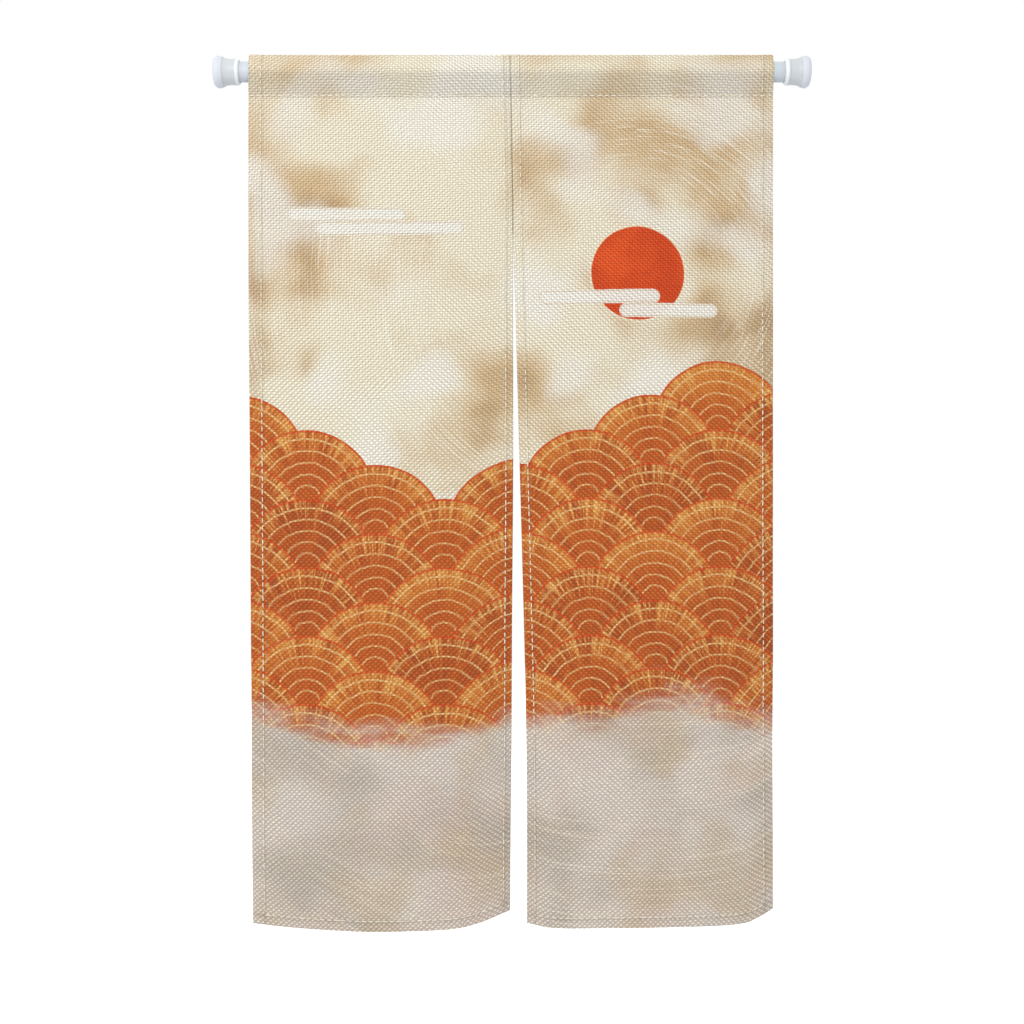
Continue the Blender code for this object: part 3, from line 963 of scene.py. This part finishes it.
def moulded(name, light, dark, roughness, grain, ring=None):
    """A moulded or painted surface: slight clouds in its colour and gloss, and a fine grain.

    A ring of painted highlight or painted shade may lie at a distance from the rod's nearer end.
    """
    made, shader, (x, y, z) = new_material(name, "place")
    clouds = noise(x + y, z, 34.0, 71.0, 3.0)
    fine = noise(x + y * 0.7, z - y * 0.7, 900.0, 72.0, 2.0)
    scuffs = noise(x, y + z, 150.0, 73.0, 4.0, 0.7).step(0.55, 0.8)
    colour = (clouds * 0.7 + scuffs * 0.3).colour(light, dark)
    gloss = clouds.number(roughness, roughness + 0.06) + scuffs * 0.08
    if ring:
        # The ring: a painted highlight on the cap's collar, and painted shade on the tube beside it
        from_end = (abs(x - ROD_MIDDLE) - (ROD_END - ROD_MIDDLE)) * -1.0
        band = abs(from_end - ring["middle"]).step(ring["half"] * 0.7, ring["half"] * 1.1).flipped()
        colour = band.colour(colour, ring["colour"])
    finish_surface(shader, colour, gloss, fine, grain)
    return made


def toward(corner, other, distance):
    """The point at a distance from a corner towards another one, at most halfway there."""
    length = math.dist(corner, other)
    share = min(distance / length, 0.5)
    return tuple(c + (o - c) * share for c, o in zip(corner, other))


def turn_at(before, corner, after):
    """How far an outline turns at a corner."""
    into = math.atan2(corner[1] - before[1], corner[0] - before[0])
    out = math.atan2(after[1] - corner[1], after[0] - corner[0])
    return abs(math.remainder(out - into, 2.0 * math.pi))


def rounded(profile, edge, closed):
    """An outline of (x, radius) points, rounded a little at its edges and widely at its gentle turns."""
    last = profile[-1:] if closed else []
    first = profile[:1] if closed else []
    whole = last + profile + first
    points = [] if closed else [profile[0]]
    for before, corner, after in zip(whole, whole[1:], whole[2:]):
        reach = edge if turn_at(before, corner, after) > SHARP_TURN else SOFT_REACH
        start = toward(corner, before, reach)
        end = toward(corner, after, reach)
        for step in range(ROUND_STEPS + 1):
            share = step / ROUND_STEPS
            low = [s + (c - s) * share for s, c in zip(start, corner)]
            high = [c + (e - c) * share for c, e in zip(corner, end)]
            points.append(tuple(a + (b - a) * share for a, b in zip(low, high)))
    return points if closed else points + [profile[-1]]


def turned(name, profile, closed, wall, facing, finish):
    """A piece turned about the rod's axis. Its outline's x runs towards the wall at X = wall."""
    shape = bmesh.new()
    corners = [shape.verts.new((x, 0.0, radius)) for x, radius in profile]
    edges = [shape.edges.new(pair) for pair in zip(corners, corners[1:])]
    if closed:
        edges.append(shape.edges.new((corners[-1], corners[0])))
    bmesh.ops.spin(shape, geom=corners + edges, cent=(0.0, 0.0, 0.0), axis=(1.0, 0.0, 0.0),
                   angle=2.0 * math.pi, steps=ROD_SEGMENTS, use_merge=True)
    bmesh.ops.remove_doubles(shape, verts=shape.verts, dist=MERGE_DISTANCE)
    for vertex in shape.verts:
        vertex.co.x = wall + facing * vertex.co.x
    bmesh.ops.recalc_face_normals(shape, faces=shape.faces)
    mesh = bpy.data.meshes.new(name)
    shape.to_mesh(mesh)
    shape.free()
    places = np.empty(len(mesh.vertices) * 3, np.float32)
    mesh.vertices.foreach_get("co", places)
    mesh.attributes.new("place", "FLOAT_VECTOR", "POINT").data.foreach_set("vector", places)
    mesh.shade_smooth()
    mesh.materials.append(finish)
    piece = bpy.data.objects.new(name, mesh)
    bpy.context.scene.collection.objects.link(piece)
    return piece


def tube_piece(finish):
    """The steel tube, open at both ends, which stop inside the caps."""
    half = (ROD_END - ROD_START) / 2.0 - WEB_BACK - FIT_GAP
    bore = TUBE_RADIUS - TUBE_WALL
    profile = [(-half, TUBE_RADIUS), (half, TUBE_RADIUS), (half, bore), (-half, bore)]
    return turned("tube", rounded(profile, TUBE_EDGE, True), True, ROD_MIDDLE, 1.0, finish)


def cap_piece(name, wall, facing, finish):
    """An end cap: a collared sleeve over the tube, closed by a web with a socket for the foot's peg."""
    sleeve = TUBE_RADIUS + FIT_GAP
    socket = PEG_RADIUS + FIT_GAP
    socket_floor = FOOT_BACK + PEG_LENGTH + 2.0 * FIT_GAP
    profile = [(-WEB_BACK, 0.0), (-WEB_BACK, sleeve), (-WEB_BACK - SLEEVE_DEPTH, sleeve)]
    profile += [(-back, radius) for back, radius in reversed(CAP_RIM)]
    profile += [(-CAP_RIM[0][0], socket), (-socket_floor, socket), (-socket_floor, 0.0)]
    return turned(name, rounded(profile, CAP_EDGE, False), False, wall, facing, finish)


def foot_piece(name, wall, facing, finish):
    """The soft foot that presses on the wall, with a peg into the cap."""
    peg_end = FOOT_BACK + PEG_LENGTH
    profile = [(-peg_end, 0.0), (-peg_end, PEG_RADIUS), (-FOOT_BACK, PEG_RADIUS)]
    profile += [(-back, radius) for back, radius in reversed(FOOT_RIM)]
    profile += [(0.0, 0.0)]
    return turned(name, rounded(profile, FOOT_EDGE, False), False, wall, facing, finish)


def placed_as(piece, node):
    """The piece stays with the body, and may stand for a solid of the frame."""
    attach(piece, "root")
    if node:
        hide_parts(node)


def add_rod():
    """The tension rod: tube, caps and feet."""
    enamel = moulded("tube_enamel", **ENAMEL, ring=TUBE_SHADE_BAND)
    plastic = moulded("cap_plastic", **PLASTIC, ring=COLLAR_HIGHLIGHT)
    rubber = moulded("foot_rubber", **RUBBER)
    placed_as(tube_piece(enamel), "rod_tube")
    for side, wall in (("left", ROD_START), ("right", ROD_END)):
        cap = cap_piece("end_cap_" + side, wall, FACING[side], plastic)
        foot = foot_piece("end_foot_" + side, wall, FACING[side], rubber)
        placed_as(cap, "cap_" + side)
        placed_as(foot, "foot_" + side)


def add_panels():
    """The two panels and their stitches."""
    cloth = printed_cloth()
    sewing = thread()
    for side in FACING:
        panel = cloth_piece(side, cloth)
        stitches = stitches_piece(side, sewing)
        placed_as(panel, "panel_" + side)
        placed_as(stitches, None)


def plain_material(name, colour, roughness):
    """A material of one colour, for the floor."""
    made = bpy.data.materials.new(name)
    made.use_nodes = True
    shader = made.node_tree.nodes["Principled BSDF"]
    shader.inputs["Base Color"].default_value = (*colour, 1.0)
    shader.inputs["Roughness"].default_value = roughness
    return made


def add_floor():
    """A plain pale floor below the curtain."""
    half = FLOOR_SIZE / 2.0
    signs = ((-1, -1), (1, -1), (1, 1), (-1, 1))
    corners = [(ROD_MIDDLE + x * half, y * half, FLOOR_Z) for x, y in signs]
    mesh = bpy.data.meshes.new("floor")
    mesh.from_pydata(corners, [], [(0, 1, 2, 3)])
    mesh.materials.append(plain_material("floor_paint", FLOOR_COLOUR, FLOOR_ROUGHNESS))
    floor = bpy.data.objects.new("floor", mesh)
    bpy.context.scene.collection.objects.link(floor)
    floor.visible_diffuse = False
    floor.visible_glossy = False
    return floor


def add_key_lamp():
    """A soft square lamp to the upper left, which points at the curtain's middle."""
    data = bpy.data.lights.new("key", "AREA")
    data.shape = "SQUARE"
    data.size = KEY_SIZE
    data.energy = KEY_POWER
    data.color = KEY_COLOUR
    lamp = bpy.data.objects.new("key", data)
    bpy.context.scene.collection.objects.link(lamp)
    x, y, z = KEY_FROM_MIDDLE
    lamp.location = (ROD_MIDDLE + x, y, CAMERA_Z + z)
    lamp.rotation_euler = Vector((-x, -y, -z)).to_track_quat("-Z", "Y").to_euler()


def add_room():
    """Even white light all round, a little weaker from below. The camera sees plain white."""
    world = bpy.data.worlds.new("studio")
    bpy.context.scene.world = world
    world.use_nodes = True
    tree = world.node_tree
    tree.nodes.clear()
    output = tree.nodes.new("ShaderNodeOutputWorld")
    seen = tree.nodes.new("ShaderNodeBackground")
    lit = tree.nodes.new("ShaderNodeBackground")
    choose = tree.nodes.new("ShaderNodeMixShader")
    path = tree.nodes.new("ShaderNodeLightPath")
    place = tree.nodes.new("ShaderNodeTexCoord")
    apart = tree.nodes.new("ShaderNodeSeparateXYZ")
    seen.inputs["Color"].default_value = (1.0, 1.0, 1.0, 1.0)
    seen.inputs["Strength"].default_value = BACKDROP
    tree.links.new(place.outputs["Generated"], apart.inputs[0])
    height = Field(tree, apart.outputs["Z"]).step(-LIGHT_TURNS, LIGHT_TURNS)
    tree.links.new(height.colour(LIGHT_BELOW, LIGHT_ABOVE).socket, lit.inputs["Color"])
    lit.inputs["Strength"].default_value = ROOM_LIGHT
    tree.links.new(path.outputs["Is Camera Ray"], choose.inputs[0])
    tree.links.new(lit.outputs[0], choose.inputs[1])
    tree.links.new(seen.outputs[0], choose.inputs[2])
    tree.links.new(choose.outputs[0], output.inputs["Surface"])


def add_floor_lamp(floor):
    """A sun that lights the floor alone."""
    data = bpy.data.lights.new("floor_lamp", "SUN")
    data.energy = FLOOR_LIGHT
    data.angle = FLOOR_LAMP_ANGLE
    lamp = bpy.data.objects.new("floor_lamp", data)
    bpy.context.scene.collection.objects.link(lamp)
    only = bpy.data.collections.new("floor_only")
    only.objects.link(floor)
    lamp.light_linking.receiver_collection = only


def add_camera():
    """The camera, square on to the curtain's middle, as in the photograph."""
    data = bpy.data.cameras.new("camera")
    data.lens = LENS
    data.sensor_width = SENSOR
    data.clip_end = CAMERA_REACH
    camera = bpy.data.objects.new("camera", data)
    bpy.context.scene.collection.objects.link(camera)
    camera.location = (ROD_MIDDLE, -CAMERA_DISTANCE, CAMERA_Z)
    camera.rotation_euler = (math.pi / 2.0, 0.0, 0.0)
    bpy.context.scene.camera = camera


bpy.context.scene.view_settings.view_transform = "Standard"
add_rod()
add_panels()
add_room()
floor = add_floor()
add_key_lamp()
add_floor_lamp(floor)
add_camera()
